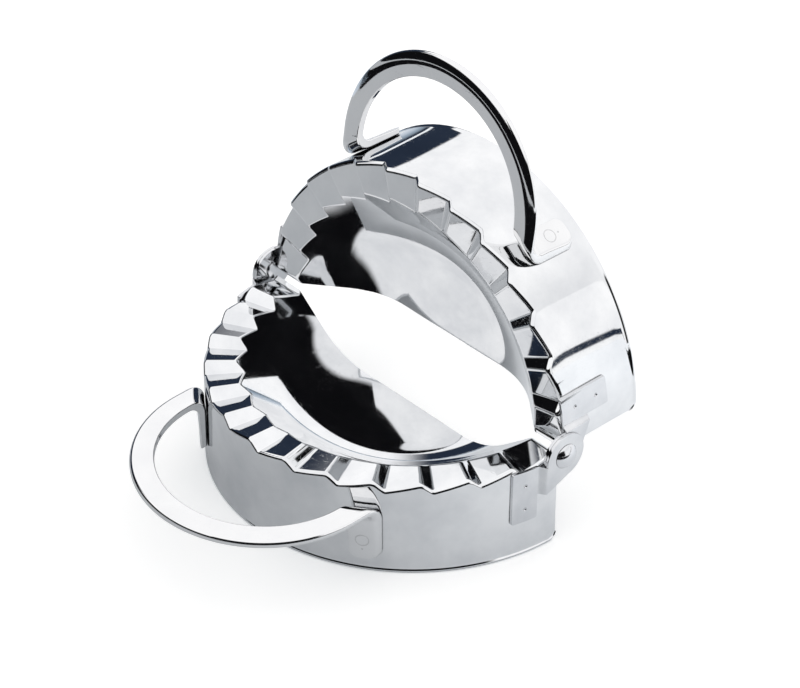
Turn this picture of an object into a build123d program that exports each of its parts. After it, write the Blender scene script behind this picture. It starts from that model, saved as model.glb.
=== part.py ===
from build123d import *
import os
from math import acos, asin, atan2, cos, degrees, hypot, radians, sin, sqrt, tan

# Hinged press for folding and crimping a filled disc of dough, in millimetres.
# Each half is one sheet drawn to half of a shallow drum: a skirt, a ring of ratchet-like teeth
# that crimps the edge, and a dish for the filling. Its straight side is open. A strap handle and
# two hinge leaves are spot-welded to each skirt, and a domed rivet joins the leaves at each end.
#
# Every piece is built in the frame of a half that lies with its face up: the hinge axis is X at
# the origin, the half reaches along -Y, and depth goes down -Z. Placing a half turns that frame.

# ---- shells: one drawn sheet each
SKIRT_RADIUS = 60.0         # outside of the skirt
SHELL_SHEET = 0.8
SHOULDER_RADIUS = 0.8       # outside of the bend between the teeth and the skirt
SKIRT_DEPTH = 29.5          # from the mean face plane to the rim
RIM_BEVEL_HEIGHT = 1.0      # ground cutting edge on the outside of the rim
RIM_BEVEL_INSET = 0.35
RIM_CORNER_RADIUS = 2.5     # where the rim meets the open straight side
TEETH_PER_ROUND = 28        # even, so that both halves of a round are alike and mesh
TOOTH_HALF_RISE = 1.3       # a tooth's height above and below the mean face plane, at the skirt
RISER_ANGLE = 3.1           # degrees of arc taken by the step between two teeth
DISH_MOUTH_RADIUS = 49.4    # where the dish wall meets the mean face plane
DISH_DEPTH = 15.0
DISH_WALL_SLOPE = 38.5      # degrees below the face plane
DISH_BLEND_RADIUS = 30.0    # between the wall and the flat floor

# ---- how the halves meet
FACE_DROP = 1.0             # mean face plane below the hinge axis: half of the gap for the dough
CUT_SETBACK = 0.25          # straight side behind the hinge axis, so that the press opens flat
OPEN_ANGLE = 90.0           # between the faces as modelled; 0 is closed

# ---- strap handles
STRAP_WIDTH = 7.0
STRAP_SHEET = 2.4
LOOP_HALF_WIDTH = 38.7      # outside of the loop, along the hinge axis
LEG_LENGTH = 10.6           # straight, from the skirt to where the leg runs into the bow
BOW_RISE = 36.5             # from the legs' ends to the outside of the bow
LOOP_DROP = 5.0             # mean face plane down to the loop, at the skirt
LOWER_LOOP_LEAN = 1.5       # degrees that a loop leans away from the face plane
UPPER_LOOP_LEAN = 8.0
EDGE_FLAT = 0.4             # left between the two roundings of the strap's outer edge
TAB_DEPTH = 24.1            # mean face plane to the half-round tip of a welded tab
BEND_RADIUS = 3.3           # inside of the bend between loop and tab

# ---- hinge leaves
LEAF_SHEET = 0.9
LEAF_PLATE_WIDTH = 8.0
LEAF_PLATE_LENGTH = 17.4
LEAF_PLATE_FROM_AXIS = 8.3  # hinge axis to the near side of the welded plate
LEAF_TOP_DROP = 0.0         # mean face plane down to the top of the plate
LOBE_ROOT_LENGTH = 9.4      # length of the plate's side that carries the lobe
JOGGLE_START = 7.3          # hinge axis to the flat part of the lobe
EAR_RADIUS = 6.9
WELD_DIMPLE_RADIUS = 0.6
WELD_DIMPLE_DEPTH = 0.2
WELD_PITCH = 8.1            # between the two dimples of a plate
FIRST_WELD_DROP = 5.0       # top of the plate to the first dimple

# ---- hinge rivets
SHANK_RADIUS = 1.6
HEAD_RADIUS = 3.9
HEAD_HEIGHT = 2.0
TAIL_RADIUS = 2.7
TAIL_THICKNESS = 0.55

# ---- fits
WELD_GAP = 0.05             # between a skirt and what is welded to it
TAIL_CLEARANCE = 0.35       # between the skirt and a rivet's tail
EAR_CLEARANCE = 0.06        # side play of the inner ear
SHANK_CLEARANCE = 0.05      # radial, shank in the inner ear
SHANK_FIT = 0.01            # radial, shank riveted in the outer ear

# ---- worked out from the sizes above
TOOTH_PITCH = 360.0 / TEETH_PER_ROUND
RIM_Z = -FACE_DROP - SKIRT_DEPTH
SEAT_RADIUS = SKIRT_RADIUS + WELD_GAP
TAIL_X = SKIRT_RADIUS + TAIL_CLEARANCE
INNER_EAR_X = TAIL_X + TAIL_THICKNESS + EAR_CLEARANCE
OUTER_EAR_X = INNER_EAR_X + LEAF_SHEET + EAR_CLEARANCE
HEAD_X = OUTER_EAR_X + LEAF_SHEET
LEAF_TOP_Z = -FACE_DROP - LEAF_TOP_DROP
TAB_TIP_Z = -FACE_DROP - TAB_DEPTH
LEG_ROOT_REACH = sqrt(SEAT_RADIUS**2 - LOOP_HALF_WIDTH**2)
LOOP_CENTRE_REACH = LEG_ROOT_REACH + LEG_LENGTH
LOOP_REACH = LOOP_CENTRE_REACH + BOW_RISE
FAR = 3.0 * SKIRT_RADIUS    # reaches past the whole press
TOUCH = 0.01                # how near to a line or a surface counts as on it


def polygon_face(points):
    return Face(Wire.make_polygon([Vector(*p) for p in points], close=True))


def box_between(low, high):
    size = [h - l for l, h in zip(low, high)]
    return Pos(*low) * Box(*size, align=(Align.MIN, Align.MIN, Align.MIN))


def beyond_cut():
    """The space on this half's side of its straight, open side."""
    return box_between((-FAR, -FAR, -FAR), (FAR, -CUT_SETBACK, FAR))


def toothed_block(drop):
    """A solid under the toothed face. Every facet and riser lies in a plane through the centre
    of the face, so the teeth fade towards it; drop lowers the face by a sheet's thickness."""
    top = -FACE_DROP - drop
    reach = FAR / 2
    rise = TOOTH_HALF_RISE * reach / SKIRT_RADIUS
    rim = []
    for k in range(TEETH_PER_ROUND // 2 + 1):
        for side in (-1, 1):
            angle = radians(k * TOOTH_PITCH + side * RISER_ANGLE / 2)
            rim.append((reach * cos(angle), -reach * sin(angle), top + side * rise))
    centre = (0.0, 0.0, top)
    under = [(x, y, -FAR) for x, y, z in rim]
    under_centre = (0.0, 0.0, -FAR)
    faces = [polygon_face([under_centre] + under)]
    for i in range(len(rim) - 1):
        faces.append(polygon_face([centre, rim[i], rim[i + 1]]))
        faces.append(polygon_face([rim[i], rim[i + 1], under[i + 1], under[i]]))
    for i in (0, -1):
        faces.append(polygon_face([centre, rim[i], under[i], under_centre]))
    return Solid(Shell(faces))


def dish_bowl(offset):
    """The space of the dish, its surface moved outwards by offset."""
    slope = radians(DISH_WALL_SLOPE)
    blend_drop = DISH_BLEND_RADIUS * (sin(slope) * tan(slope) - 1 + cos(slope))
    floor_radius = DISH_MOUTH_RADIUS - (DISH_DEPTH + blend_drop) / tan(slope)
    radius = DISH_BLEND_RADIUS + offset
    centre_z = DISH_BLEND_RADIUS - DISH_DEPTH - FACE_DROP
    floor_z = centre_z - radius
    blend_end = (floor_radius + radius * sin(slope), centre_z - radius * cos(slope))
    blend_mid = (floor_radius + radius * sin(slope / 2), centre_z - radius * cos(slope / 2))
    length = 2 * DISH_MOUTH_RADIUS
    wall_end = (blend_end[0] + length * cos(slope), blend_end[1] + length * sin(slope))
    with BuildPart() as bowl:
        with BuildSketch(Plane.XZ):
            with BuildLine():
                Line((0, floor_z), (floor_radius, floor_z))
                ThreePointArc((floor_radius, floor_z), blend_mid, blend_end)
                Line(blend_end, wall_end)
                Line(wall_end, (0, wall_end[1]))
                Line((0, wall_end[1]), (0, floor_z))
            make_face()
        revolve(axis=Axis.Z)
    return bowl.part


def outer_drum():
    """The drum that the skirt follows, with the ground bevel at its rim."""
    with BuildPart() as drum:
        with BuildSketch(Plane.XZ):
            with BuildLine():
                Polyline(
                    (0, RIM_Z),
                    (SKIRT_RADIUS - RIM_BEVEL_INSET, RIM_Z),
                    (SKIRT_RADIUS, RIM_Z + RIM_BEVEL_HEIGHT),
                    (SKIRT_RADIUS, FAR),
                    (0, FAR),
                    close=True,
                )
            make_face()
        revolve(axis=Axis.Z)
    return drum.part


def inner_drum():
    radius = SKIRT_RADIUS - SHELL_SHEET
    low = RIM_Z - SHELL_SHEET
    return Pos(0, 0, low) * Cylinder(radius, FAR, align=(Align.CENTER, Align.CENTER, Align.MIN))


def rim_corners():
    """What rounds the two free corners of the skirt, where the rim meets the straight side."""
    corner_y = -CUT_SETBACK - RIM_CORNER_RADIUS
    corner_z = RIM_Z + RIM_CORNER_RADIUS
    square = box_between((-FAR, corner_y, RIM_Z), (FAR, -CUT_SETBACK, corner_z))
    roller = Pos(0, corner_y, corner_z) * Rot(0, 90, 0) * Cylinder(RIM_CORNER_RADIUS, 2 * FAR)
    return square - roller


def shell():
    outside = toothed_block(0) & outer_drum() & beyond_cut()
    shoulder = outside.edges().filter_by(GeomType.ELLIPSE)
    outside = fillet(shoulder, SHOULDER_RADIUS) - dish_bowl(0)
    hollow = toothed_block(SHELL_SHEET) & inner_drum()
    hollow -= dish_bowl(SHELL_SHEET)
    return outside - hollow - rim_corners()


def loop_outline(inset):
    """Plan of the bow and its legs, from the outside of the loop inwards by inset."""
    half_width = LOOP_HALF_WIDTH - inset
    bow = Pos(0, -LOOP_CENTRE_REACH) * Ellipse(half_width, BOW_RISE - inset)
    legs = Pos(0, -LOOP_CENTRE_REACH) * Rectangle(
        2 * half_width, LOOP_CENTRE_REACH, align=(Align.CENTER, Align.MIN)
    )
    return bow + legs


def bend_edges(strap, radius):
    """The edge across the strap at each bend, where it follows a cylinder about Z."""
    edges = []
    for edge in strap.edges():
        misses = [abs(hypot(end.X, end.Y) - radius) for end in edge.vertices()]
        level = edge.bounding_box().size.Z < STRAP_SHEET
        above_tip = edge.center().Z > TAB_TIP_Z + TOUCH
        if max(misses) < TOUCH and level and above_tip:
            edges.append(edge)
    return edges


def on_outer_side(point):
    past_legs = max(0, -point.Y - LOOP_CENTRE_REACH)
    return abs(hypot(point.X / LOOP_HALF_WIDTH, past_legs / BOW_RISE) - 1) < TOUCH / BOW_RISE


def outer_edges(strap):
    """The two edges that bound the strap's outer side, from tab to tab."""
    edges = []
    for edge in strap.edges():
        along = [edge.position_at(share) for share in (0.1, 0.5, 0.9)]
        above_tip = edge.center().Z > TAB_TIP_Z + TOUCH
        if all(on_outer_side(point) for point in along) and above_tip:
            edges.append(edge)
    return edges


def tab_tip_waste():
    """What rounds the tip of both tabs off to half circles, seen along -Y."""
    radius = STRAP_WIDTH / 2
    centre_z = TAB_TIP_Z + radius
    waste = box_between((-FAR, -FAR, -FAR), (FAR, 0, centre_z))
    for side in (-1, 1):
        centre_x = side * (LOOP_HALF_WIDTH - radius)
        waste -= Pos(centre_x, 0, centre_z) * Rot(90, 0, 0) * Cylinder(radius, 4 * FAR)
    return waste


def strap_handle(lean):
    """A flat loop that leans by lean degrees, its ends bent down to tabs along the skirt."""
    plan = loop_outline(0) - loop_outline(STRAP_WIDTH)
    column = Pos(0, 0, -FAR) * extrude(plan, FAR)
    seat = Cylinder(SEAT_RADIUS, 4 * FAR)
    tab_ring = Cylinder(SEAT_RADIUS + STRAP_SHEET, 4 * FAR) - seat
    top_z = -FACE_DROP - LOOP_DROP
    slab = box_between((-FAR, -FAR, -STRAP_SHEET), (FAR, FAR, 0))
    slab = Pos(0, -LEG_ROOT_REACH, top_z) * Rot(lean, 0, 0) * slab
    above_slab = box_between((-FAR, -FAR, -STRAP_SHEET / 2), (FAR, FAR, FAR))
    above_slab = Pos(0, -LEG_ROOT_REACH, top_z) * Rot(lean, 0, 0) * above_slab
    this_side = box_between((-FAR, -FAR, TAB_TIP_Z), (FAR, -CUT_SETBACK, FAR))
    loop = (column & slab & this_side) - seat
    tabs = (column & tab_ring & this_side) - above_slab
    strap = loop + tabs
    strap = fillet(bend_edges(strap, SEAT_RADIUS), BEND_RADIUS + STRAP_SHEET)
    strap = fillet(bend_edges(strap, SEAT_RADIUS + STRAP_SHEET), BEND_RADIUS)
    strap = fillet(outer_edges(strap), (STRAP_SHEET - EDGE_FLAT) / 2)
    return strap - tab_tip_waste()


def leaf_outline():
    """Side view of a leaf: the welded plate, the lobe and the round ear."""
    plate_y = -LEAF_PLATE_FROM_AXIS
    root_z = LEAF_TOP_Z - LOBE_ROOT_LENGTH
    root_distance = sqrt(plate_y**2 + root_z**2)
    root_angle = atan2(root_z, plate_y)
    tangent_angle = root_angle + acos(EAR_RADIUS / root_distance)
    tangent = (EAR_RADIUS * cos(tangent_angle), EAR_RADIUS * sin(tangent_angle))
    plate = box_between(
        (0, plate_y - LEAF_PLATE_WIDTH, LEAF_TOP_Z - LEAF_PLATE_LENGTH),
        (FAR, plate_y, LEAF_TOP_Z),
    )
    ear = Rot(0, 90, 0) * Cylinder(EAR_RADIUS, FAR, align=(Align.CENTER, Align.CENTER, Align.MIN))
    lobe_plan = [(0, plate_y, LEAF_TOP_Z), (0, plate_y, root_z), (0, *tangent), (0, 0, 0)]
    lobe_plan.append((0, -sqrt(EAR_RADIUS**2 - LEAF_TOP_Z**2), LEAF_TOP_Z))
    lobe = extrude(polygon_face(lobe_plan), FAR, dir=(1, 0, 0))
    return plate + ear + lobe


def leaf_strip(ear_x):
    """The bent strip seen from above, as tall as needed: curved on the skirt, then joggled out."""
    near = SEAT_RADIUS * cos(asin(LEAF_PLATE_FROM_AXIS / SEAT_RADIUS))
    plate = Cylinder(SEAT_RADIUS + LEAF_SHEET, 2 * FAR) - Cylinder(SEAT_RADIUS, 2 * FAR)
    plate &= box_between((0, -FAR, -FAR), (FAR, -LEAF_PLATE_FROM_AXIS, FAR))
    joggle = [
        (near, -LEAF_PLATE_FROM_AXIS, -FAR),
        (near + LEAF_SHEET, -LEAF_PLATE_FROM_AXIS, -FAR),
        (ear_x + LEAF_SHEET, -JOGGLE_START, -FAR),
        (ear_x + LEAF_SHEET, FAR, -FAR),
        (ear_x, FAR, -FAR),
        (ear_x, -JOGGLE_START, -FAR),
    ]
    return plate + extrude(polygon_face(joggle), 2 * FAR, dir=(0, 0, 1))


def hinge_leaf(ear_x, hole_radius):
    leaf = leaf_outline() & leaf_strip(ear_x)
    leaf -= Rot(0, 90, 0) * Cylinder(hole_radius, 2 * FAR)
    weld_y = -LEAF_PLATE_FROM_AXIS - LEAF_PLATE_WIDTH / 2
    surface = SEAT_RADIUS + LEAF_SHEET
    weld_x = sqrt(surface**2 - weld_y**2)
    for k in range(2):
        weld_z = LEAF_TOP_Z - FIRST_WELD_DROP - k * WELD_PITCH
        turn = degrees(asin(weld_y / surface))
        pit = Cylinder(WELD_DIMPLE_RADIUS, 2 * WELD_DIMPLE_DEPTH)
        leaf -= Pos(weld_x, weld_y, weld_z) * Rot(0, 0, turn) * Rot(0, 90, 0) * pit
    return leaf


def hinge_rivet():
    """Domed head outside, shank through both ears, flattened tail inside."""
    dome_radius = (HEAD_RADIUS**2 + HEAD_HEIGHT**2) / (2 * HEAD_HEIGHT)
    half_angle = asin(HEAD_RADIUS / dome_radius) / 2
    dome_centre = HEAD_X + HEAD_HEIGHT - dome_radius
    dome_mid = (dome_centre + dome_radius * cos(half_angle), dome_radius * sin(half_angle))
    tail_end = TAIL_X + TAIL_THICKNESS
    with BuildPart() as rivet:
        with BuildSketch(Plane.XY):
            with BuildLine():
                Polyline(
                    (TAIL_X, 0),
                    (TAIL_X, TAIL_RADIUS),
                    (tail_end, TAIL_RADIUS),
                    (tail_end, SHANK_RADIUS),
                    (HEAD_X, SHANK_RADIUS),
                    (HEAD_X, HEAD_RADIUS),
                )
                ThreePointArc((HEAD_X, HEAD_RADIUS), dome_mid, (HEAD_X + HEAD_HEIGHT, 0))
                Line((HEAD_X + HEAD_HEIGHT, 0), (TAIL_X, 0))
            make_face()
        revolve(axis=Axis.X)
    return rivet.part


def lower_place():
    """Stands the lower rim on the ground, with the whole press centred over the origin."""
    return Pos(0, (LOOP_REACH - (FACE_DROP + SKIRT_DEPTH)) / 2, -RIM_Z)


def upper_place():
    """The same half turned over, then opened about the hinge axis."""
    return lower_place() * Rot(-OPEN_ANGLE, 0, 0) * Rot(0, 180, 0)


def write_node(name, solid):
    export_step(solid, os.path.join("parts", name + ".step"))


os.makedirs("parts", exist_ok=True)
half_shell = shell()
rivet = hinge_rivet()
halves = (
    ("lower", lower_place(), OUTER_EAR_X, SHANK_FIT, LOWER_LOOP_LEAN),
    ("upper", upper_place(), INNER_EAR_X, SHANK_CLEARANCE, UPPER_LOOP_LEAN),
)
for half, place, ear_x, fit, lean in halves:
    write_node(half + "_shell", place * half_shell)
    write_node(half + "_handle", place * strap_handle(lean))
    leaf = hinge_leaf(ear_x, SHANK_RADIUS + fit)
    turned_over = half == "upper"
    write_node(half + "_hinge_leaf_" + ("left" if turned_over else "right"), place * leaf)
    mirrored = mirror(leaf, about=Plane.YZ)
    write_node(half + "_hinge_leaf_" + ("right" if turned_over else "left"), place * mirrored)
write_node("hinge_rivet_right", lower_place() * rivet)
write_node("hinge_rivet_left", lower_place() * mirror(rivet, about=Plane.YZ))
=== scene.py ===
import bpy
import numpy as np
from math import acos, asin, atan, atan2, cos, hypot, pi, radians, sin, sqrt, tan
from mathutils import Matrix, Vector


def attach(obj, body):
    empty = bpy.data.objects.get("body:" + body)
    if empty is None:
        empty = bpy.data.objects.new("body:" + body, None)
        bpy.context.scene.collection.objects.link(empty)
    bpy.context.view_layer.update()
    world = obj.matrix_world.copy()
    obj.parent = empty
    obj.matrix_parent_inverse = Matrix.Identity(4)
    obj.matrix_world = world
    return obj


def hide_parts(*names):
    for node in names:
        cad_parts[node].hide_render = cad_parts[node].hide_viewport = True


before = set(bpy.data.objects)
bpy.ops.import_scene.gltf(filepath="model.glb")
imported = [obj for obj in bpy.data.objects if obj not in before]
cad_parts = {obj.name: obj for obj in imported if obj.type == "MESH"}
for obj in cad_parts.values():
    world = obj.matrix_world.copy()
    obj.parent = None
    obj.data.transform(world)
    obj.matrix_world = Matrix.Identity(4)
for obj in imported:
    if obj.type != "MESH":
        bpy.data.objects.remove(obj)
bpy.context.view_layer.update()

# ---- the two pressed shells
# Each half is one sheet of polished stainless, 0.8 mm thick, deep-drawn to half of a drum: a skirt, a
# ring of crimping teeth pressed into its face, and a dish. It is cut off straight at the hinge.
MM = 0.001
SKIRT_RADIUS = 60.0
SHEET = 0.8
FACE_Z = -1.0               # mean face plane, below the hinge axis
RIM_Z = -30.5
CUT_Y = -0.25               # the straight side
SHOULDER = 1.2              # outside radius between the teeth and the skirt
TEETH = 14
TOOTH_PITCH = radians(180.0 / TEETH)
TOOTH_HALF_RISE = 1.3       # at the skirt; the teeth fade towards the centre
RISER_HALF_ANGLE = radians(1.55)
VALLEY_ROUNDING = radians(0.55)
RIDGE_ROUNDING = radians(0.80)
COLUMNS_PER_TOOTH = 32
MOUTH_RADIUS = 49.4
DISH_DEPTH = 15.0
WALL_SLOPE = radians(38.5)
FLOOR_BLEND = 30.0
LIP = 0.6                   # from the mouth's corner to where its rounding ends
RIM_CORNER = 2.5            # rounding of the rim's two ends, at the straight side
FLARE_RADIUS = 2.0          # the rim is turned out a little, and its edge is rounded
FLARE_TURN = radians(32)
RIM_ROUNDING = 0.55
RIM_BREAK = 0.10            # of the rim's inner edge
SKIRT_LEVELS = (-4.5, -7.0, -9.5, -12.0, -14.5, -16.5, -18.5, -21.0, -23.5, -26.0)
SKIRT_DRAW_IN = 0.10        # the skirt is this much slimmer half-way down
DRAW_IN_END = RIM_Z + 2.0
SMOOTH_BELOW = radians(32)  # edges that bend by less are shaded smooth
MERGE_WITHIN = 0.001 * MM
HINGE = Vector((0.0, 0.031258, 0.0305))
LOWER_PLACE = Matrix.Translation(HINGE)
UPPER_PLACE = Matrix.Translation(HINGE) @ Matrix(((-1, 0, 0, 0), (0, 0, -1, 0), (0, -1, 0, 0), (0, 0, 0, 1)))


def arc(centre, radius, start, end, steps):
    """Points (r, z) round centre, from one angle to the other."""
    turns = [start + (end - start) * k / steps for k in range(steps + 1)]
    return [(centre[0] + radius * cos(a), centre[1] + radius * sin(a)) for a in turns]


def rounded(before, corner, after, steps):
    """A corner rounded off between two points at its sides."""
    shares = [k / steps for k in range(steps + 1)]
    ways = zip(before, corner, after)
    curves = [[(1 - s) ** 2 * a + 2 * s * (1 - s) * c + s * s * b for s in shares] for a, c, b in ways]
    return list(zip(*curves))


def along(start, end, shares):
    return [tuple(a + (b - a) * s for a, b in zip(start, end)) for s in shares]


def shell_section(rise):
    """The sheet's section (r, z) in mm where a tooth stands rise above the mean face at the skirt:
    from the middle of the dish out over teeth and skirt to the rim, and back inside."""
    fade = rise / SKIRT_RADIUS
    slope = tan(WALL_SLOPE)
    blend_drop = FLOOR_BLEND * (sin(WALL_SLOPE) * slope - 1 + cos(WALL_SLOPE))
    floor_radius = MOUTH_RADIUS - (DISH_DEPTH + blend_drop) / slope
    blend_z = FLOOR_BLEND - DISH_DEPTH + FACE_Z
    near = 0.1
    section = []
    for drop in (0.0, SHEET):
        blend = arc((floor_radius, blend_z), FLOOR_BLEND + drop, -pi / 2, WALL_SLOPE - pi / 2, 12)
        foot = blend[-1]
        ring_z = FACE_Z - drop
        mouth_r = (ring_z - foot[1] + foot[0] * slope) / (slope - fade)
        mouth = (mouth_r, ring_z + fade * mouth_r)
        wall = (cos(WALL_SLOPE), sin(WALL_SLOPE))
        lip_in = (mouth[0] - LIP * wall[0], mouth[1] - LIP * wall[1])
        lip_out = (mouth[0] + LIP, mouth[1] + LIP * fade)
        length = hypot(lip_in[0] - foot[0], lip_in[1] - foot[1])
        dish = [(0.0, blend[0][1])] + along((0.0, blend[0][1]), blend[0], (0.35, 0.7, 0.98))
        dish += blend + along(foot, lip_in, (0.02, 0.3, 0.65, 1 - near / length))
        dish += rounded(lip_in, mouth, lip_out, 6)
        if drop == 0.0:
            lean = atan(fade)
            middle = SKIRT_RADIUS - SHOULDER
            bend_z = ring_z + fade * middle - SHOULDER / cos(lean)
            bend = arc((middle, bend_z), SHOULDER, pi / 2 + lean, 0.0, 9)
            outside = dish + along(lip_out, bend[0], (0.02, 0.3, 0.65, 0.985)) + bend
            outside += [(SKIRT_RADIUS, bend_z - near)]
        else:
            inner = SKIRT_RADIUS - SHEET
            corner = (inner, ring_z + fade * inner)
            within = SHOULDER - SHEET
            flat_end = (inner - within, corner[1] - within * fade)
            bend = rounded(flat_end, corner, (inner, corner[1] - within), 5)
            inside = dish + along(lip_out, bend[0], (0.02, 0.5, 0.98)) + bend
    middle, half = (SKIRT_LEVELS[0] + DRAW_IN_END) / 2, (SKIRT_LEVELS[0] - DRAW_IN_END) / 2
    skirt = [(SKIRT_RADIUS - SKIRT_DRAW_IN * (1 - ((z - middle) / half) ** 2), z) for z in SKIRT_LEVELS]
    edge_r = SKIRT_RADIUS + FLARE_RADIUS - (FLARE_RADIUS + RIM_ROUNDING) * cos(FLARE_TURN)
    edge_z = RIM_Z + RIM_ROUNDING
    flare_z = edge_z + (FLARE_RADIUS + RIM_ROUNDING) * sin(FLARE_TURN)
    rim = arc((SKIRT_RADIUS + FLARE_RADIUS, flare_z), FLARE_RADIUS, pi, pi + FLARE_TURN, 6)
    rim += arc((edge_r, edge_z), RIM_ROUNDING, FLARE_TURN, -pi / 2, 9)[1:]
    inside_r = SKIRT_RADIUS - SHEET
    rim += [(inside_r + RIM_BREAK, RIM_Z), (inside_r + 0.2 * RIM_BREAK, RIM_Z + 0.3 * RIM_BREAK)]
    inner_skirt = [(inside_r, z) for z in (RIM_Z + RIM_BREAK, RIM_Z + 3 * RIM_BREAK, -22.0, -14.0, -6.0)]
    return outside + skirt + rim + inner_skirt + inside[::-1]


def tooth_rise(angle):
    """Height of the teeth at the skirt: flat facets, each stepping up to the next by a riser."""
    k = round(angle / TOOTH_PITCH)
    off = angle - k * TOOTH_PITCH
    facet = TOOTH_PITCH - 2 * RISER_HALF_ANGLE

    def plane(a):
        if abs(a) <= RISER_HALF_ANGLE:
            return TOOTH_HALF_RISE * sin(a) / sin(RISER_HALF_ANGLE)
        side = 1 if a > 0 else -1
        from_corner = abs(a) - RISER_HALF_ANGLE
        return side * TOOTH_HALF_RISE * (sin(facet - from_corner) - sin(from_corner)) / sin(facet)

    for corner, window in ((-RISER_HALF_ANGLE, VALLEY_ROUNDING), (RISER_HALF_ANGLE, RIDGE_ROUNDING)):
        if abs(off - corner) < window:
            s = (off - corner + window) / (2 * window)
            a, c, b = plane(corner - window), plane(corner), plane(corner + window)
            return (1 - s) ** 2 * a + 2 * s * (1 - s) * c + s * s * b
    return plane(off)


def tooth_columns():
    """Angles of one tooth's columns from its riser: close together where the sheet bends."""
    near = radians(0.12)
    marks = [
        (-TOOTH_PITCH / 2, 0),
        (-RISER_HALF_ANGLE - VALLEY_ROUNDING - near, 8),
        (-RISER_HALF_ANGLE - VALLEY_ROUNDING, 1),
        (-RISER_HALF_ANGLE + VALLEY_ROUNDING, 5),
        (-RISER_HALF_ANGLE + VALLEY_ROUNDING + near, 1),
        (0.0, 1),
        (RISER_HALF_ANGLE - RIDGE_ROUNDING - near, 1),
        (RISER_HALF_ANGLE - RIDGE_ROUNDING, 1),
        (RISER_HALF_ANGLE + RIDGE_ROUNDING, 6),
        (RISER_HALF_ANGLE + RIDGE_ROUNDING + near, 1),
        (TOOTH_PITCH / 2, 7),
    ]
    angles = [marks[0][0]]
    for (before, _), (after, steps) in zip(marks, marks[1:]):
        angles += [before + (after - before) * (k + 1) / steps for k in range(steps)]
    return angles


def start_line(name, points):
    """A line of edges through points in mm, extruded on from a single vertex, left in edit mode."""
    bpy.ops.object.select_all(action="DESELECT")
    bpy.ops.mesh.primitive_plane_add(size=MM)
    piece = bpy.context.object
    piece.name = piece.data.name = name
    bpy.ops.object.mode_set(mode="EDIT")
    bpy.ops.mesh.select_mode(type="VERT")
    bpy.ops.mesh.merge(type="CENTER")
    bpy.ops.transform.translate(value=Vector(points[0]) * MM)
    for before, after in zip(points, points[1:]):
        step = (Vector(after) - Vector(before)) * MM
        bpy.ops.mesh.extrude_region_move(TRANSFORM_OT_translate={"value": step})
    bpy.ops.mesh.select_all(action="SELECT")
    return piece


def vertex_places(piece):
    places = np.empty(len(piece.data.vertices) * 3)
    piece.data.vertices.foreach_get("co", places)
    return places.reshape(-1, 3)


def set_places(piece, places):
    piece.data.vertices.foreach_set("co", places.ravel())
    piece.data.update()


def close_mesh(piece):
    """Merges doubles and turns all faces outwards; leaves the piece in object mode."""
    bpy.ops.object.mode_set(mode="EDIT")
    bpy.ops.mesh.select_all(action="SELECT")
    bpy.ops.mesh.remove_doubles(threshold=MERGE_WITHIN)
    bpy.ops.mesh.fill_holes(sides=0)
    bpy.ops.mesh.normals_make_consistent(inside=False)
    bpy.ops.object.mode_set(mode="OBJECT")


flat_section = shell_section(0.0)
columns = TEETH * COLUMNS_PER_TOOTH
lower_shell = start_line("lower_shell_drawn", [(r, 0.0, z) for r, z in flat_section])
bpy.ops.mesh.spin(steps=columns, angle=-pi, center=(0, 0, 0), axis=(0, 0, 1))
bpy.ops.object.mode_set(mode="OBJECT")

places = vertex_places(lower_shell) / MM
radii = np.hypot(places[:, 0], places[:, 1])
turned = np.abs(np.arctan2(places[:, 1], places[:, 0]))
profile = np.array(flat_section)
rows = np.argmin(np.hypot(radii[:, None] - profile[:, 0], places[:, 2:] - profile[:, 1]), axis=1)
ticks = np.rint(turned / pi * columns).astype(int)
offsets = tooth_columns()
pressed = np.empty((columns + 1, len(flat_section), 3))
for tick in range(columns + 1):
    tooth = round(tick / COLUMNS_PER_TOOTH)
    angle = tooth * TOOTH_PITCH + offsets[tick - tooth * COLUMNS_PER_TOOTH + COLUMNS_PER_TOOTH // 2]
    section = np.array(shell_section(tooth_rise(angle)))
    y = -section[:, 0] * sin(angle)
    corner_y = CUT_Y - RIM_CORNER
    past = np.clip(y - corner_y, 0.0, RIM_CORNER) * (section[:, 0] > SKIRT_RADIUS - 2 * SHEET)
    lift = RIM_CORNER - np.sqrt(RIM_CORNER**2 - past**2)
    near_rim = np.clip((RIM_Z + 2 * RIM_CORNER - section[:, 1]) / (2 * RIM_CORNER), 0.0, 1.0)
    pressed[tick, :, 0] = section[:, 0] * cos(angle)
    pressed[tick, :, 1] = y
    pressed[tick, :, 2] = section[:, 1] + lift * near_rim
set_places(lower_shell, pressed[ticks, rows] * MM)
bpy.ops.object.mode_set(mode="EDIT")
bpy.ops.mesh.select_all(action="SELECT")
bpy.ops.mesh.remove_doubles(threshold=MERGE_WITHIN)
bpy.ops.mesh.bisect(plane_co=(0, CUT_Y * MM, 0), plane_no=(0, 1, 0), clear_outer=True)
bpy.ops.object.mode_set(mode="OBJECT")
close_mesh(lower_shell)
bpy.ops.object.shade_smooth_by_angle(angle=SMOOTH_BELOW)

bpy.ops.object.duplicate()
upper_shell = bpy.context.object
upper_shell.name = upper_shell.data.name = "upper_shell_drawn"
lower_shell.data.transform(LOWER_PLACE)
upper_shell.data.transform(UPPER_PLACE)


def add_node(material, kind, **values):
    """A shader node with its properties, and its inputs by name, set."""
    node = material.node_tree.nodes.new(kind)
    for key, value in values.items():
        if hasattr(node, key):
            setattr(node, key, value)
        else:
            node.inputs[key.replace("_", " ").title()].default_value = value
    return node


# dark colour: painted shade in crevices, and the real stain of the weld marks on the tabs
CREVICE_SHADE_AND_WELD_STAIN = (0.10, 0.10, 0.11)
SCRATCH_DEPTH = 0.012 * MM
SCRATCH_ROUGHNESS = 0.12
EDGE_ROUGHNESS = 0.06


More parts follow.
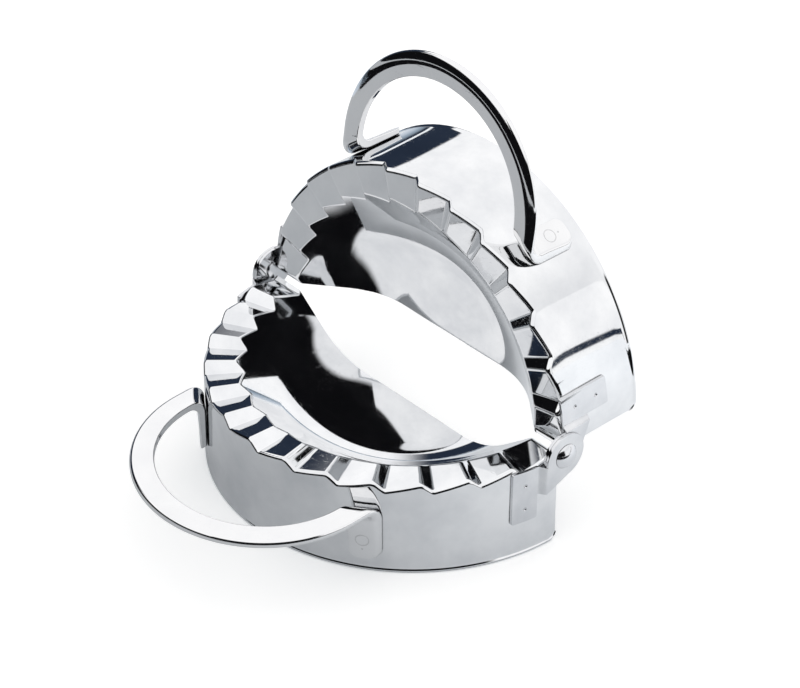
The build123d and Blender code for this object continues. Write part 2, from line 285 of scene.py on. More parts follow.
def polished_steel(name, colour, shade, roughness, haze, scratch, scale, shade_reach):
    """Polished stainless: a clear mirror with hazy areas, fine scratches, worn, softer edges and painted
    shade, darkening its colour in crevices and corners as far out from them as the last argument gives, in
    mm."""
    material = bpy.data.materials.new(name)
    material.use_nodes = True
    nodes, links = material.node_tree.nodes, material.node_tree.links
    steel = nodes["Principled BSDF"]
    steel.inputs["Metallic"].default_value = 1.0
    place = add_node(material, "ShaderNodeTexCoord").outputs["Object"]

    clouds = add_node(material, "ShaderNodeTexNoise", scale=45.0 * scale, detail=4.0, roughness=0.6)
    links.new(place, clouds.inputs["Vector"])
    tint = add_node(material, "ShaderNodeValToRGB")
    tint.color_ramp.elements[0].position = 0.35
    tint.color_ramp.elements[0].color = (*shade, 1)
    tint.color_ramp.elements[1].position = 0.65
    tint.color_ramp.elements[1].color = (*colour, 1)
    links.new(clouds.outputs["Fac"], tint.inputs["Fac"])
    # painted shade: ambient occlusion darkens the colour in crevices, corners and between parts
    crevice = add_node(material, "ShaderNodeAmbientOcclusion", samples=8)
    crevice.inputs["Distance"].default_value = shade_reach * MM
    crevice_shade = add_node(material, "ShaderNodeMapRange")
    crevice_shade.inputs["From Min"].default_value = 0.35
    crevice_shade.inputs["From Max"].default_value = 0.75
    links.new(crevice.outputs["AO"], crevice_shade.inputs["Value"])
    shaded_colour = add_node(material, "ShaderNodeMix", data_type="RGBA")
    shaded_colour.inputs[6].default_value = (*CREVICE_SHADE_AND_WELD_STAIN, 1)
    links.new(crevice_shade.outputs["Result"], shaded_colour.inputs[0])
    links.new(tint.outputs["Color"], shaded_colour.inputs[7])
    links.new(shaded_colour.outputs[2], steel.inputs["Base Color"])

    lines = []
    for turn, stretch in (((0.3, 0.9, 0.5), 26.0), ((1.2, 0.2, 2.1), 34.0)):
        mapping = add_node(material, "ShaderNodeMapping")
        mapping.inputs["Rotation"].default_value = turn
        mapping.inputs["Scale"].default_value = (1.0, stretch, stretch)
        links.new(place, mapping.inputs["Vector"])
        fine = add_node(material, "ShaderNodeTexNoise", scale=70.0 * scale, detail=3.0)
        links.new(mapping.outputs["Vector"], fine.inputs["Vector"])
        sharp = add_node(material, "ShaderNodeMapRange")
        sharp.inputs["From Min"].default_value = 0.66
        sharp.inputs["From Max"].default_value = 0.74
        links.new(fine.outputs["Fac"], sharp.inputs["Value"])
        lines.append(sharp.outputs["Result"])
    scratches = add_node(material, "ShaderNodeMath", operation="MAXIMUM")
    links.new(lines[0], scratches.inputs[0])
    links.new(lines[1], scratches.inputs[1])

    hazy = add_node(material, "ShaderNodeMapRange")
    hazy.inputs["From Min"].default_value = 0.45
    hazy.inputs["From Max"].default_value = 0.75
    hazy.inputs["To Min"].default_value = roughness
    hazy.inputs["To Max"].default_value = roughness + haze
    links.new(clouds.outputs["Fac"], hazy.inputs["Value"])
    worn = add_node(material, "ShaderNodeMapRange")
    worn.inputs["From Min"].default_value = 0.53
    worn.inputs["From Max"].default_value = 0.62
    worn.inputs["To Max"].default_value = EDGE_ROUGHNESS
    edge = add_node(material, "ShaderNodeNewGeometry")
    links.new(edge.outputs["Pointiness"], worn.inputs["Value"])
    rough = add_node(material, "ShaderNodeMath", operation="ADD")
    links.new(hazy.outputs["Result"], rough.inputs[0])
    links.new(worn.outputs["Result"], rough.inputs[1])
    scuffed = add_node(material, "ShaderNodeMath", operation="MULTIPLY_ADD")
    scuffed.inputs[1].default_value = SCRATCH_ROUGHNESS
    links.new(scratches.outputs[0], scuffed.inputs[0])
    links.new(rough.outputs[0], scuffed.inputs[2])
    links.new(scuffed.outputs[0], steel.inputs["Roughness"])

    bump = add_node(material, "ShaderNodeBump")
    bump.inputs["Strength"].default_value = scratch
    bump.inputs["Distance"].default_value = SCRATCH_DEPTH
    bump.invert = True
    links.new(scratches.outputs[0], bump.inputs["Height"])
    links.new(bump.outputs["Normal"], steel.inputs["Normal"])
    return material


shell_steel = polished_steel(
    "shell_mirror_steel", colour=(0.86, 0.865, 0.87), shade=(0.74, 0.75, 0.765),
    roughness=0.03, haze=0.05, scratch=0.12, scale=1.3, shade_reach=0.9,
)
for shell, half in ((lower_shell, "lower"), (upper_shell, "upper")):
    shell.data.materials.append(shell_steel)
    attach(shell, half + "_half")
    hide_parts(half + "_shell")

# ---- the strap handles
# Each is one flat stainless strap, stamped and bent: two tabs spot-welded to the skirt, turned out
# into legs that run into a D-shaped bow. The upper one's bow is crowned on its outer side, the lower
# one's is flat with a wide rounding there.
STRAP_WIDTH = 7.0
STRAP_SHEET = 2.4
CROWN_RADIUS = 5.5
CROWN_FROM = 3.5            # from the outer side inwards to where the top is flat
SIDE_ROUNDING = 0.9         # of the top's outer edge, on the upper bow and the tabs
LOWER_BOW_ROUNDING = 1.25   # the same on the lower bow
UNDER_ROUNDING = 0.65
INNER_ROUNDING = 0.5
LOOP_HALF_WIDTH = 38.7
LEG_LENGTH = 10.6
BOW_RISE = 36.5
LOOP_TOP = -6.0             # top of the loop at the skirt, below the hinge axis
LOWER_LEAN = radians(1.5)   # the loops' planes lean off the mean face by this
UPPER_LEAN = radians(8.0)
TAB_TIP_Z = -25.1
TIP_CORNER = 2.3            # rounding of the tip's two corners
TIP_SHEET = 1.9             # the weld has squeezed the tab's end to this thickness
BEND = 3.3                  # inside radius
SEAT_RADIUS = 60.05
WELD_Z = -18.6              # middle of the welding electrode's mark on a tab
WELD_RING = 1.9             # its radius
WELD_LINE = 0.16            # half of its line's width
WELD_DOT = 0.3              # radius of the small dot beyond it
WELD_DOT_Z = WELD_Z - 3.2
WELD_DEPTH = 0.07
WELD_STAIN = 0.24           # share of the dark stain colour in the line and the dot
LEG_ROOT = sqrt(SEAT_RADIUS**2 - LOOP_HALF_WIDTH**2)
BOW_CENTRE = LEG_ROOT + LEG_LENGTH


def strap_ring(rounding, crowned):
    """The strap's section as (inwards from the outer side, down from the top), in mm. Where it is
    not crowned, as at the tabs, its top is flat up to the rounding."""
    near = 0.06
    slope = asin((CROWN_FROM - rounding) / (CROWN_RADIUS - rounding)) if crowned else 0.0
    side_down = CROWN_RADIUS - (CROWN_RADIUS - rounding) * cos(slope) if crowned else rounding
    side = arc((rounding, side_down), rounding, pi, 1.5 * pi - slope, 7)
    crown = []
    for across, down in along(side[-1], (CROWN_FROM, 0.0), [(k + 1) / 12 for k in range(12)]):
        if crowned:
            down = CROWN_RADIUS - sqrt(CROWN_RADIUS**2 - (CROWN_FROM - across) ** 2)
        crown.append((across, down))
    inner = STRAP_WIDTH - INNER_ROUNDING
    top_inner = arc((inner, INNER_ROUNDING), INNER_ROUNDING, -pi / 2, 0.0, 5)
    under = STRAP_SHEET - INNER_ROUNDING
    under_inner = arc((inner, under), INNER_ROUNDING, 0.0, pi / 2, 5)
    under = STRAP_SHEET - UNDER_ROUNDING
    under_outer = arc((UNDER_ROUNDING, under), UNDER_ROUNDING, pi / 2, pi, 5)
    whole = side + crown
    for corner in (top_inner, under_inner, under_outer):
        gap = hypot(corner[0][0] - whole[-1][0], corner[0][1] - whole[-1][1])
        whole += along(whole[-1], corner[0], (near / gap, 0.5, 1 - near / gap)) + corner
    return np.array(whole)


def strap_stations():
    """Where the strap's rings stand, from the middle of the bow to a tab's tip."""
    stations = [("bow", pi / 2 * (1 - k / 64)) for k in range(64)]
    stations += [("leg", share) for share in (0.0, 0.25, 0.5, 0.75, 0.98)]
    stations += [("bend", 1 - k / 16) for k in range(17)]
    stations += [("tab", share) for share in (0.02, 0.1, 0.2, 0.3, 0.4, 0.5, 0.6, 0.7, 0.8, 0.9, 1.0)]
    stations += [("tip", pi / 2 * (k + 1) / 14) for k in range(14)]
    return stations


def strap_point(kind, share, across, down, lean):
    """A point of the strap's +X side: across its width from the outer side, and down its sheet."""
    fall = tan(lean)
    thick = STRAP_SHEET / cos(lean)

    def top_at(y):
        return LOOP_TOP + (y + LEG_ROOT) * fall

    if kind == "bow":
        half_width, rise = LOOP_HALF_WIDTH - across, BOW_RISE - across
        x, y = half_width * cos(share), -BOW_CENTRE - rise * sin(share)
        return x, y, top_at(y) - down * thick / STRAP_SHEET
    middle = LOOP_HALF_WIDTH - STRAP_WIDTH / 2
    tip_radius = STRAP_WIDTH / 2
    x = LOOP_HALF_WIDTH - across
    if kind == "tip":
        half_flat = tip_radius - TIP_CORNER
        x = middle + (x - middle) * (half_flat + TIP_CORNER * cos(share)) / tip_radius
    seat_y = -sqrt(SEAT_RADIUS**2 - x * x)
    front_y = -sqrt((SEAT_RADIUS + STRAP_SHEET) ** 2 - x * x)
    outside = BEND + STRAP_SHEET
    squeeze = 1 - TIP_SHEET / STRAP_SHEET
    top_centre = (seat_y - outside, top_at(seat_y - outside) - outside / cos(lean))
    under_centre = (front_y - BEND, top_at(front_y - BEND) - thick - BEND / cos(lean))
    turn = {"leg": 1.0, "bend": share}.get(kind, 0.0) * (pi / 2 + lean)
    top = (top_centre[0] + outside * cos(turn), top_centre[1] + outside * sin(turn))
    under = (under_centre[0] + BEND * cos(turn), under_centre[1] + BEND * sin(turn))
    depth = down / STRAP_SHEET
    y, z = (a + (b - a) * depth for a, b in zip(top, under))
    if kind == "leg":
        start_z = top_at(-BOW_CENTRE) - down * thick / STRAP_SHEET
        y, z = -BOW_CENTRE + (y + BOW_CENTRE) * share, start_z + (z - start_z) * share
    if kind == "tab":
        y = seat_y + (y - seat_y) * (1 - squeeze * share * share * (3 - 2 * share))
        z += (TAB_TIP_Z + TIP_CORNER - z) * share
    if kind == "tip":
        y = seat_y + (y - seat_y) * (1 - squeeze)
        z = TAB_TIP_Z + TIP_CORNER * (1 - sin(share))
    return x, y, z


def strap_handle(name, lean, bow, place):
    """A sheet of quads rolled round the strap's section and led along its whole length; bow is the
    section that the plain one of the tabs runs into."""
    plain = strap_ring(SIDE_ROUNDING, False)
    half = strap_stations()
    stations = [(kind, share, -1) for kind, share in half[:0:-1]] + [(kind, share, 1) for kind, share in half]
    bpy.ops.object.select_all(action="DESELECT")
    bpy.ops.mesh.primitive_grid_add(x_subdivisions=len(stations) - 1, y_subdivisions=len(plain), size=2.0)
    handle = bpy.context.object
    handle.name = handle.data.name = name
    places = vertex_places(handle)
    steps = np.rint((places[:, 0] + 1) / 2 * (len(stations) - 1)).astype(int)
    turns = np.rint((places[:, 1] + 1) / 2 * len(plain)).astype(int) % len(plain)
    swept = np.empty((len(stations), len(plain), 3))
    for i, (kind, share, side) in enumerate(stations):
        bow_share = {"bow": 1.0, "leg": 1.0, "bend": share * share * (3 - 2 * share)}.get(kind, 0.0)
        for j, (across, down) in enumerate(plain + (bow - plain) * bow_share):
            x, y, z = strap_point(kind, share, across, down, lean)
            swept[i, j] = (side * x, y, z)
    set_places(handle, swept[steps, turns] * MM)
    close_mesh(handle)
    bpy.ops.object.shade_smooth_by_angle(angle=SMOOTH_BELOW)
    handle.data.transform(place)
    return handle


handle_steel = polished_steel(
    "handle_polished_steel", colour=(0.86, 0.86, 0.86), shade=(0.82, 0.82, 0.825),
    roughness=0.045, haze=0.05, scratch=0.12, scale=1.5, shade_reach=0.9,
)
nodes, links = handle_steel.node_tree.nodes, handle_steel.node_tree.links
strap_place = nodes["Texture Coordinate"].outputs["Object"]
marks = None
for place in (LOWER_PLACE, UPPER_PLACE):
    for side in (-1, 1):
        for drop, radius, width in ((WELD_Z, WELD_RING, WELD_LINE), (WELD_DOT_Z, 0.0, WELD_DOT)):
            mark_x = LOOP_HALF_WIDTH - STRAP_WIDTH / 2
            mark_y = -sqrt((SEAT_RADIUS + TIP_SHEET) ** 2 - mark_x**2)
            centre = place @ (Vector((side * mark_x, mark_y, drop)) * MM)
            away = add_node(handle_steel, "ShaderNodeVectorMath", operation="DISTANCE")
            away.inputs[1].default_value = centre
            links.new(strap_place, away.inputs[0])
            groove = add_node(handle_steel, "ShaderNodeMath", operation="COMPARE")
            groove.inputs[1].default_value = radius * MM
            groove.inputs[2].default_value = width * MM
            links.new(away.outputs["Value"], groove.inputs[0])
            if marks is None:
                marks = groove.outputs[0]
            else:
                joined = add_node(handle_steel, "ShaderNodeMath", operation="MAXIMUM")
                links.new(marks, joined.inputs[0])
                links.new(groove.outputs[0], joined.inputs[1])
                marks = joined.outputs[0]
stain = add_node(handle_steel, "ShaderNodeMath", operation="MULTIPLY")
stain.inputs[1].default_value = WELD_STAIN
links.new(marks, stain.inputs[0])
marked = add_node(handle_steel, "ShaderNodeMix", data_type="RGBA")
links.new(stain.outputs[0], marked.inputs[0])
links.new(nodes["Mix"].outputs[2], marked.inputs[6])
marked.inputs[7].default_value = (*CREVICE_SHADE_AND_WELD_STAIN, 1)
links.new(marked.outputs[2], nodes["Principled BSDF"].inputs["Base Color"])
mark_bump = add_node(handle_steel, "ShaderNodeBump", invert=True)
mark_bump.inputs["Strength"].default_value = 1.0
mark_bump.inputs["Distance"].default_value = WELD_DEPTH * MM
links.new(marks, mark_bump.inputs["Height"])
links.new(nodes["Bump"].outputs["Normal"], mark_bump.inputs["Normal"])
links.new(mark_bump.outputs["Normal"], nodes["Principled BSDF"].inputs["Normal"])

plain_bow, crowned_bow = strap_ring(LOWER_BOW_ROUNDING, False), strap_ring(SIDE_ROUNDING, True)
lower_handle = strap_handle("lower_handle_strap", LOWER_LEAN, plain_bow, LOWER_PLACE)
upper_handle = strap_handle("upper_handle_strap", UPPER_LEAN, crowned_bow, UPPER_PLACE)
for handle, half in ((lower_handle, "lower"), (upper_handle, "upper")):
    handle.data.materials.append(handle_steel)
    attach(handle, half + "_half")
    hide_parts(half + "_handle")

# ---- the hinge leaves
# Four strips of 0.9 mm stainless: a plate spot-welded on the skirt, joggled out to a round ear.
# The two welds leave small dimples, and the blanked edges are broken.
LEAF_SHEET = 0.9
PLATE_NEAR = -8.3
PLATE_FAR = -16.3
LEAF_TOP = -1.0
PLATE_FOOT = -18.4
PLATE_LINES = (-15.0, -13.7, -12.3, -11.0, -9.7)    # along which the plate bends round the skirt
LOBE_ROOT = -10.4
JOGGLE_END = -6.9
JOGGLE_STEPS = 8
EAR_RADIUS = 6.9
PLATE_CORNER = 0.5
BROKEN_EDGE = 0.18
INNER_EAR_X = 60.96
OUTER_EAR_X = 61.92
DIMPLES = (-6.0, -14.1)
DIMPLE_RADIUS = 0.6
DIMPLE_DEPTH = 0.36
SHANK_RADIUS = 1.6
SHANK_CLEARANCE = 0.05


def leaf_outline():
    """Side view (y, z) of a leaf in mm, round from the plate's top."""
    root_distance = hypot(PLATE_NEAR, LOBE_ROOT)
    tangent = atan2(LOBE_ROOT, PLATE_NEAR) + acos(EAR_RADIUS / root_distance)
    top = pi + asin(-LEAF_TOP / EAR_RADIUS)
    outline = [(PLATE_NEAR, LOBE_ROOT)] + arc((0.0, 0.0), EAR_RADIUS, tangent, top, 72)
    for y, z, before, after in (
        (PLATE_FAR, LEAF_TOP, (PLATE_CORNER, 0.0), (0.0, -PLATE_CORNER)),
        (PLATE_FAR, PLATE_FOOT, (0.0, PLATE_CORNER), (PLATE_CORNER, 0.0)),
        (PLATE_NEAR, PLATE_FOOT, (-PLATE_CORNER, 0.0), (0.0, PLATE_CORNER)),
    ):
        outline += rounded((y + before[0], z + before[1]), (y, z), (y + after[0], z + after[1]), 4)
    return outline


def leaf_x(y, ear_x, drop):
    """Where the bent strip's face lies over y: on the skirt, up the joggle, then flat."""
    if y <= PLATE_NEAR:
        return sqrt((SEAT_RADIUS + drop) ** 2 - y * y)
    start = sqrt(SEAT_RADIUS**2 - PLATE_NEAR**2) + drop
    share = min(1.0, (y - PLATE_NEAR) / (JOGGLE_END - PLATE_NEAR))
    return start + (ear_x + drop - start) * share * share * (3 - 2 * share)


def hinge_leaf(name, ear_x, place, mirrored):
    """Outline, face and sheet in one plane, then bent, its edges broken, its dimples and bore cut."""
    leaf = start_line(name, [(0.0, y, z) for y, z in leaf_outline()])
    bpy.ops.mesh.edge_face_add()
    joggle = [PLATE_NEAR + (JOGGLE_END - PLATE_NEAR) * k / JOGGLE_STEPS for k in range(JOGGLE_STEPS + 1)]
    for y in [*PLATE_LINES, *joggle]:
        bpy.ops.mesh.select_all(action="SELECT")
        bpy.ops.mesh.bisect(plane_co=(0, y * MM, 0), plane_no=(0, 1, 0))
    bpy.ops.mesh.select_all(action="SELECT")
    bpy.ops.mesh.extrude_region_move(TRANSFORM_OT_translate={"value": (LEAF_SHEET * MM, 0, 0)})
    bpy.ops.object.mode_set(mode="OBJECT")
    places = vertex_places(leaf) / MM
    for spot in places:
        spot[0] = leaf_x(spot[1], ear_x, LEAF_SHEET if spot[0] > LEAF_SHEET / 2 else 0.0)
    set_places(leaf, places * MM)
    close_mesh(leaf)
    broken = leaf.modifiers.new("broken_edges", "BEVEL")
    broken.width = BROKEN_EDGE * MM
    broken.segments = 3
    broken.limit_method = "ANGLE"
    broken.angle_limit = radians(38)
    bpy.ops.object.modifier_apply(modifier=broken.name)

    weld_y = (PLATE_NEAR + PLATE_FAR) / 2
    ball = (DIMPLE_RADIUS**2 + DIMPLE_DEPTH**2) / (2 * DIMPLE_DEPTH)
    out = SEAT_RADIUS + LEAF_SHEET + ball - DIMPLE_DEPTH
    turn = asin(weld_y / (SEAT_RADIUS + LEAF_SHEET))
    cutters = []
    for z in DIMPLES:
        bpy.ops.object.select_all(action="DESELECT")
        spot = Vector((out * cos(turn), out * sin(turn), z)) * MM
        bpy.ops.mesh.primitive_uv_sphere_add(segments=28, ring_count=18, radius=ball * MM, location=spot)
        cutters.append(bpy.context.object)
    bpy.ops.mesh.primitive_cylinder_add(
        vertices=48, radius=(SHANK_RADIUS + SHANK_CLEARANCE) * MM, depth=4 * MM,
        location=(ear_x * MM, 0, 0), rotation=(0, pi / 2, 0),
    )
    cutters.append(bpy.context.object)
    for cutter in cutters:
        bpy.ops.object.select_all(action="DESELECT")
        leaf.select_set(True)
        bpy.context.view_layer.objects.active = leaf
        cut = leaf.modifiers.new("cut", "BOOLEAN")
        cut.object = cutter
        cut.solver = "EXACT"
        bpy.ops.object.modifier_apply(modifier=cut.name)
        bpy.data.objects.remove(cutter)
    if mirrored:
        leaf.data.transform(Matrix.Scale(-1, 4, (1, 0, 0)))
    close_mesh(leaf)
    bpy.ops.object.shade_smooth_by_angle(angle=SMOOTH_BELOW)
    leaf.data.transform(place)
    return leaf


leaf_steel = polished_steel(
    "leaf_polished_steel", colour=(0.78, 0.785, 0.795), shade=(0.66, 0.67, 0.69),
    roughness=0.07, haze=0.09, scratch=0.3, scale=1.8, shade_reach=1.2,
)
for half, place, ear_x in (("lower", LOWER_PLACE, OUTER_EAR_X), ("upper", UPPER_PLACE, INNER_EAR_X)):
    for side in ("left", "right"):
        mirrored = (side == "left") == (half == "lower")
        leaf = hinge_leaf(f"{half}_leaf_{side}", ear_x, place, mirrored)
        leaf.data.materials.append(leaf_steel)
        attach(leaf, half + "_half")
        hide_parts(f"{half}_hinge_leaf_{side}")

# ---- the hinge rivets
# A solid stainless rivet at each end: a turned, domed head outside, a shank through both ears, and
# a tail hammered flat inside the skirt.
HEAD_X = 62.82
HEAD_RADIUS = 3.9
HEAD_HEIGHT = 2.0
HEAD_EDGE = 0.3             # rounding of the head's rim
HEAD_CROWN = 0.93           # share of the dome that this rounding leaves
TAIL_X = 60.35
TAIL_THICKNESS = 0.55
TAIL_RADIUS = 2.7
TAIL_ROUNDING = 0.15


def hinge_rivet(name, mirrored):
    dome = (HEAD_RADIUS**2 + HEAD_HEIGHT**2) / (2 * HEAD_HEIGHT)
    half_angle = asin(HEAD_RADIUS / dome)
    centre = HEAD_X + HEAD_HEIGHT - dome
    crown = arc((centre, 0.0), dome, half_angle * HEAD_CROWN, 0.0, 16)
    edge = rounded((HEAD_X, HEAD_RADIUS - HEAD_EDGE), (HEAD_X, HEAD_RADIUS), crown[0], 5)
    tail_end = TAIL_X + TAIL_THICKNESS
    flat_end, side_start = (TAIL_X, TAIL_RADIUS - TAIL_ROUNDING), (TAIL_X + TAIL_ROUNDING, TAIL_RADIUS)
    tail = [(TAIL_X, 0.0), (TAIL_X, flat_end[1] - 0.05)]
    tail += rounded(flat_end, (TAIL_X, TAIL_RADIUS), side_start, 3)
    tail += [(tail_end, TAIL_RADIUS), (tail_end, SHANK_RADIUS), (HEAD_X, SHANK_RADIUS)]
    outline = tail + edge + crown[1:]
    rivet = start_line(name, [(x, r, 0.0) for x, r in outline])
    bpy.ops.mesh.spin(steps=72, angle=2 * pi, center=(0, 0, 0), axis=(1, 0, 0))
    bpy.ops.object.mode_set(mode="OBJECT")
    if mirrored:
        rivet.data.transform(Matrix.Scale(-1, 4, (1, 0, 0)))
    close_mesh(rivet)
    bpy.ops.object.shade_smooth_by_angle(angle=SMOOTH_BELOW)
    rivet.data.transform(LOWER_PLACE)
    return rivet


rivet_steel = polished_steel(
    "rivet_turned_steel", colour=(0.76, 0.765, 0.78), shade=(0.68, 0.69, 0.71),
    roughness=0.08, haze=0.06, scratch=0.3, scale=2.0, shade_reach=1.8,
)
for side in ("left", "right"):
    rivet = hinge_rivet("rivet_" + side, side == "left")
    rivet.data.materials.append(rivet_steel)
    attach(rivet, "lower_half")
    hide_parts("hinge_rivet_" + side)

# ---- the studio
# A pale floor, a wide soft white room with dark walls low on both sides, and flags over the floor on
# the camera's side, at the left and at the back. They draw the dark lines of polished metal.
TURN = 0.8213               # radians from the press's front towards its right, to the camera
FLOOR_NEAR_PAINTED_SHADE = (0.46, 0.475, 0.49)        # as the metal shows it, with painted shade near the press
FLOOR_FAR = (0.86, 0.87, 0.88)
FLOOR_SEEN = (0.86, 0.82, 0.78)         # as the camera shows it
FLOOR_GLOW = (0.34, 0.37, 0.395)
PAINTED_SHEEN_NEAR = (0.05, 0.053, 0.056)       # painted sheen: the same glow, as the metal shows it
PAINTED_SHEEN_FAR = (0.26, 0.275, 0.29)
WHITE = (1.12, 1.12, 1.13)              # the room, as the metal shows it
PALE = (0.97, 0.975, 0.99)              # a card at the right
NAVY = (0.022, 0.032, 0.055)
BLACK = (0.005, 0.005, 0.006)
DUSK = (0.70, 0.76, 0.84)               # the flag at the back, where it starts
MIDWAY = (0.36, 0.44, 0.53)             # the same flag further out, on its way to NAVY
TOWARDS_BACK = (0.35, 0.60, 0.0)
SHADE_START, SHADE_END = -0.09, 0.17    # metres along it, from FLOOR_NEAR_PAINTED_SHADE to FLOOR_FAR

bpy.ops.object.select_all(action="DESELECT")
bpy.ops.mesh.primitive_plane_add(size=8.0)
floor = bpy.context.object
floor.name = "studio_floor"
floor_paint = bpy.data.materials.new("studio_floor_paint")
floor_paint.use_nodes = True
floor.data.materials.append(floor_paint)
nodes, links = floor_paint.node_tree.nodes, floor_paint.node_tree.links
nodes.clear()
floor_place = add_node(floor_paint, "ShaderNodeTexCoord").outputs["Object"]
# painted shade: the floor as the metal shows it is darker towards the front and left of the press, lighter
# towards the back and right
towards_back = add_node(floor_paint, "ShaderNodeVectorMath", operation="DOT_PRODUCT")
towards_back.inputs[1].default_value = TOWARDS_BACK
links.new(floor_place, towards_back.inputs[0])
shade = add_node(floor_paint, "ShaderNodeMapRange", interpolation_type="SMOOTHSTEP")
shade.inputs["From Min"].default_value = SHADE_START
shade.inputs["From Max"].default_value = SHADE_END
links.new(towards_back.outputs["Value"], shade.inputs["Value"])
reflected_floor_shade = add_node(floor_paint, "ShaderNodeValToRGB")
reflected_floor_shade.color_ramp.elements[0].color = (*FLOOR_NEAR_PAINTED_SHADE, 1)
reflected_floor_shade.color_ramp.elements[1].color = (*FLOOR_FAR, 1)
links.new(shade.outputs["Result"], reflected_floor_shade.inputs["Fac"])
paint = add_node(floor_paint, "ShaderNodeBsdfDiffuse")
links.new(reflected_floor_shade.outputs["Color"], paint.inputs["Color"])
rays = add_node(floor_paint, "ShaderNodeLightPath")
painted_sheen_tone = add_node(floor_paint, "ShaderNodeValToRGB")
painted_sheen_tone.color_ramp.elements[0].color = (*PAINTED_SHEEN_NEAR, 1)
painted_sheen_tone.color_ramp.elements[1].color = (*PAINTED_SHEEN_FAR, 1)
links.new(shade.outputs["Result"], painted_sheen_tone.inputs["Fac"])
# painted sheen: the floor glows for glossy rays only, more towards the back
sheen = add_node(floor_paint, "ShaderNodeEmission")
links.new(painted_sheen_tone.outputs["Color"], sheen.inputs["Color"])
links.new(rays.outputs["Is Glossy Ray"], sheen.inputs["Strength"])
mirrored_floor = add_node(floor_paint, "ShaderNodeAddShader")
links.new(paint.outputs[0], mirrored_floor.inputs[0])
links.new(sheen.outputs[0], mirrored_floor.inputs[1])
seen_paint = add_node(floor_paint, "ShaderNodeBsdfDiffuse")
seen_paint.inputs["Color"].default_value = (*FLOOR_SEEN, 1)
glow = add_node(floor_paint, "ShaderNodeEmission")
glow.inputs["Color"].default_value = (*FLOOR_GLOW, 1)
seen = add_node(floor_paint, "ShaderNodeAddShader")
links.new(seen_paint.outputs[0], seen.inputs[0])
links.new(glow.outputs[0], seen.inputs[1])
either = add_node(floor_paint, "ShaderNodeMixShader")
links.new(rays.outputs["Is Camera Ray"], either.inputs[0])
links.new(mirrored_floor.outputs[0], either.inputs[1])
links.new(seen.outputs[0], either.inputs[2])
links.new(either.outputs[0], add_node(floor_paint, "ShaderNodeOutputMaterial").inputs["Surface"])

flag_cloth = bpy.data.materials.new("studio_flag_cloth")
flag_cloth.use_nodes = True
flag_cloth.node_tree.nodes.clear()
cloth = add_node(flag_cloth, "ShaderNodeEmission")
cloth.inputs["Color"].default_value = (*BLACK, 1)
cloth_end = add_node(flag_cloth, "ShaderNodeOutputMaterial")
flag_cloth.node_tree.links.new(cloth.outputs[0], cloth_end.inputs["Surface"])
FLAG_FAR = 1.6              # metres from the press's middle, as the next three
FADE_START, FADE_MIDDLE, FADE_END = 0.30, 0.52, 0.95


def floor_flag(name, turn, near, width, cloth):
    """Dark cloth low over the floor, from near outwards; turn is measured like TURN."""
    bpy.ops.object.select_all(action="DESELECT")
    bpy.ops.mesh.primitive_plane_add(size=1.0)
    flag = bpy.context.object
    flag.name = name
    flag.data.transform(Matrix.Diagonal((width, FLAG_FAR - near, 1.0, 1.0)))
    flag.data.transform(Matrix.Translation((0.0, -(FLAG_FAR + near) / 2, MM)))
    flag.data.transform(Matrix.Rotation(turn, 4, "Z"))
    flag.data.materials.append(cloth)
    flag.visible_camera = flag.visible_diffuse = flag.visible_shadow = flag.visible_transmission = False
    return flag


fading_cloth = flag_cloth.copy()
fading_cloth.name = "studio_fading_cloth"
nodes, links = fading_cloth.node_tree.nodes, fading_cloth.node_tree.links
away = add_node(fading_cloth, "ShaderNodeVectorMath", operation="LENGTH")
links.new(add_node(fading_cloth, "ShaderNodeTexCoord").outputs["Object"], away.inputs[0])
reach = add_node(fading_cloth, "ShaderNodeMapRange")
reach.inputs["From Max"].default_value = FLAG_FAR
links.new(away.outputs["Value"], reach.inputs["Value"])
fading = add_node(fading_cloth, "ShaderNodeValToRGB")
fading.color_ramp.elements[0].position = FADE_START / FLAG_FAR
fading.color_ramp.elements[0].color = (*DUSK, 1)
fading.color_ramp.elements[1].position = FADE_END / FLAG_FAR
fading.color_ramp.elements[1].color = (*NAVY, 1)
half_way = fading.color_ramp.elements.new(FADE_MIDDLE / FLAG_FAR)
half_way.color = (*MIDWAY, 1)
links.new(reach.outputs["Result"], fading.inputs["Fac"])
links.new(fading.outputs["Color"], nodes["Emission"].inputs["Color"])

flag_front = floor_flag("studio_flag_front", TURN, near=0.105, width=1.1, cloth=flag_cloth)
flag_left = floor_flag("studio_flag_left", -radians(42), near=0.34, width=1.1, cloth=flag_cloth)
flag_back = floor_flag("studio_flag_back", -radians(124), near=0.28, width=0.9, cloth=fading_cloth)

world = bpy.data.worlds.new("studio_room")
bpy.context.scene.world = world
world.use_nodes = True
nodes, links = world.node_tree.nodes, world.node_tree.links
nodes.clear()


def room_math(operation, *inputs):
    node = add_node(world, "ShaderNodeMath", operation=operation)
    for socket, value in zip(node.inputs, inputs):
        if isinstance(value, (int, float)):
            socket.default_value = value
        else:
            links.new(value, socket)
    return node.outputs[0]


def rises(value, start, end):
    """0 below start, 1 above end, eased between."""
    node = add_node(world, "ShaderNodeMapRange", interpolation_type="SMOOTHSTEP")
    node.inputs["From Min"].default_value = start
    node.inputs["From Max"].default_value = end
    links.new(value, node.inputs["Value"])
    return node.outputs["Result"]


def falls(value, start, end):
    return room_math("SUBTRACT", 1.0, rises(value, start, end))


def painted(room, colour, *shares):
    """The room with colour where all of shares are 1."""
    share = shares[0]
    for other in shares[1:]:
        share = room_math("MULTIPLY", share, other)
    node = add_node(world, "ShaderNodeMix", data_type="RGBA")
    links.new(share, node.inputs[0])
    for socket, value in ((node.inputs[6], room), (node.inputs[7], colour)):
        if isinstance(value, tuple):
            socket.default_value = (*value, 1)
        else:
            links.new(value, socket)
    return node.outputs[2]


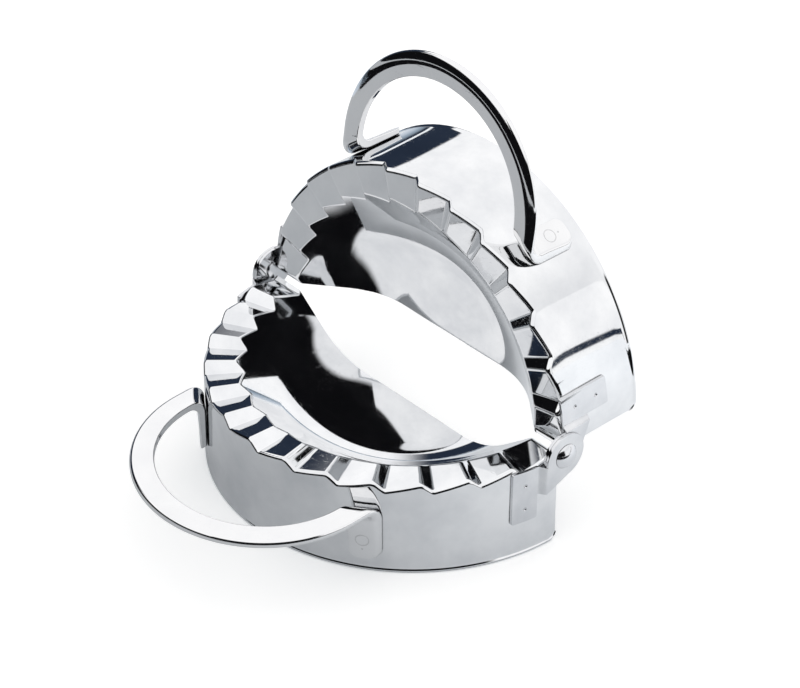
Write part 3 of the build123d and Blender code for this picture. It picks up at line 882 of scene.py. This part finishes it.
split = add_node(world, "ShaderNodeSeparateXYZ")
links.new(add_node(world, "ShaderNodeTexCoord").outputs["Generated"], split.inputs[0])
azimuth = room_math("MULTIPLY", room_math("ARCTAN2", split.outputs["X"], split.outputs["Y"]), 180 / pi)
height = room_math("MULTIPLY", room_math("ARCSINE", split.outputs["Z"]), 180 / pi)
# azimuths run from +Y towards +X, heights from the horizon up, both in degrees
pale_card = rises(azimuth, 10, 30), falls(azimuth, 85, 110), rises(height, 26.2, 26.9), falls(height, 27, 46)
room = painted(WHITE, PALE, *pale_card)
left_height = room_math("ADD", height, room_math("MULTIPLY", azimuth, 0.35))
left_wall = falls(azimuth, -49, -45), rises(azimuth, -115, -100), falls(left_height, -1.6, 0.2)
room = painted(room, NAVY, *left_wall)
room = painted(room, BLACK, falls(azimuth, -105, -90), falls(height, 23.5, 25.5))
room = painted(room, BLACK, rises(azimuth, 88, 96), falls(height, 32, 36))
right_height = room_math("ADD", height, room_math("MULTIPLY", azimuth, 0.5))
right_gap = rises(azimuth, 25, 32), rises(right_height, 28.6, 29.4), falls(right_height, 31.4, 32.2)
room = painted(room, NAVY, *right_gap)
room = painted(room, (1.0, 1.0, 1.0), add_node(world, "ShaderNodeLightPath").outputs["Is Camera Ray"])
sky = add_node(world, "ShaderNodeBackground")
links.new(room, sky.inputs["Color"])
links.new(sky.outputs[0], add_node(world, "ShaderNodeOutputWorld").inputs["Surface"])

# ---- the camera
# It stands where the photograph was taken from, which fitting both rims, the hinge and both loops to
# the picture gave: in front to the right, about 0.9 m away and 36 degrees above the floor.
RISE = 0.6245               # radians above the floor
ROLL = 0.0083
DISTANCE = 0.89862          # metres, from the middle of the hinge
back = Vector((sin(TURN) * cos(RISE), -cos(TURN) * cos(RISE), sin(RISE)))
right = Vector((cos(TURN), sin(TURN), 0.0))
up = back.cross(right)
rolled_right = cos(ROLL) * right + sin(ROLL) * up
rolled_up = cos(ROLL) * up - sin(ROLL) * right
spot = HINGE + DISTANCE * back
bpy.ops.object.camera_add()
camera = bpy.context.object
camera.name = "studio_camera"
camera.matrix_world = Matrix((
    (rolled_right.x, rolled_up.x, back.x, spot.x),
    (rolled_right.y, rolled_up.y, back.y, spot.y),
    (rolled_right.z, rolled_up.z, back.z, spot.z),
    (0, 0, 0, 1),
))
camera.data.sensor_width = 36.0
camera.data.lens = 140.357
camera.data.shift_x = -0.0149
camera.data.shift_y = 0.0168
camera.data.clip_start = 0.05
camera.data.clip_end = 30.0
bpy.context.scene.camera = camera
bpy.context.scene.view_settings.view_transform = "Standard"
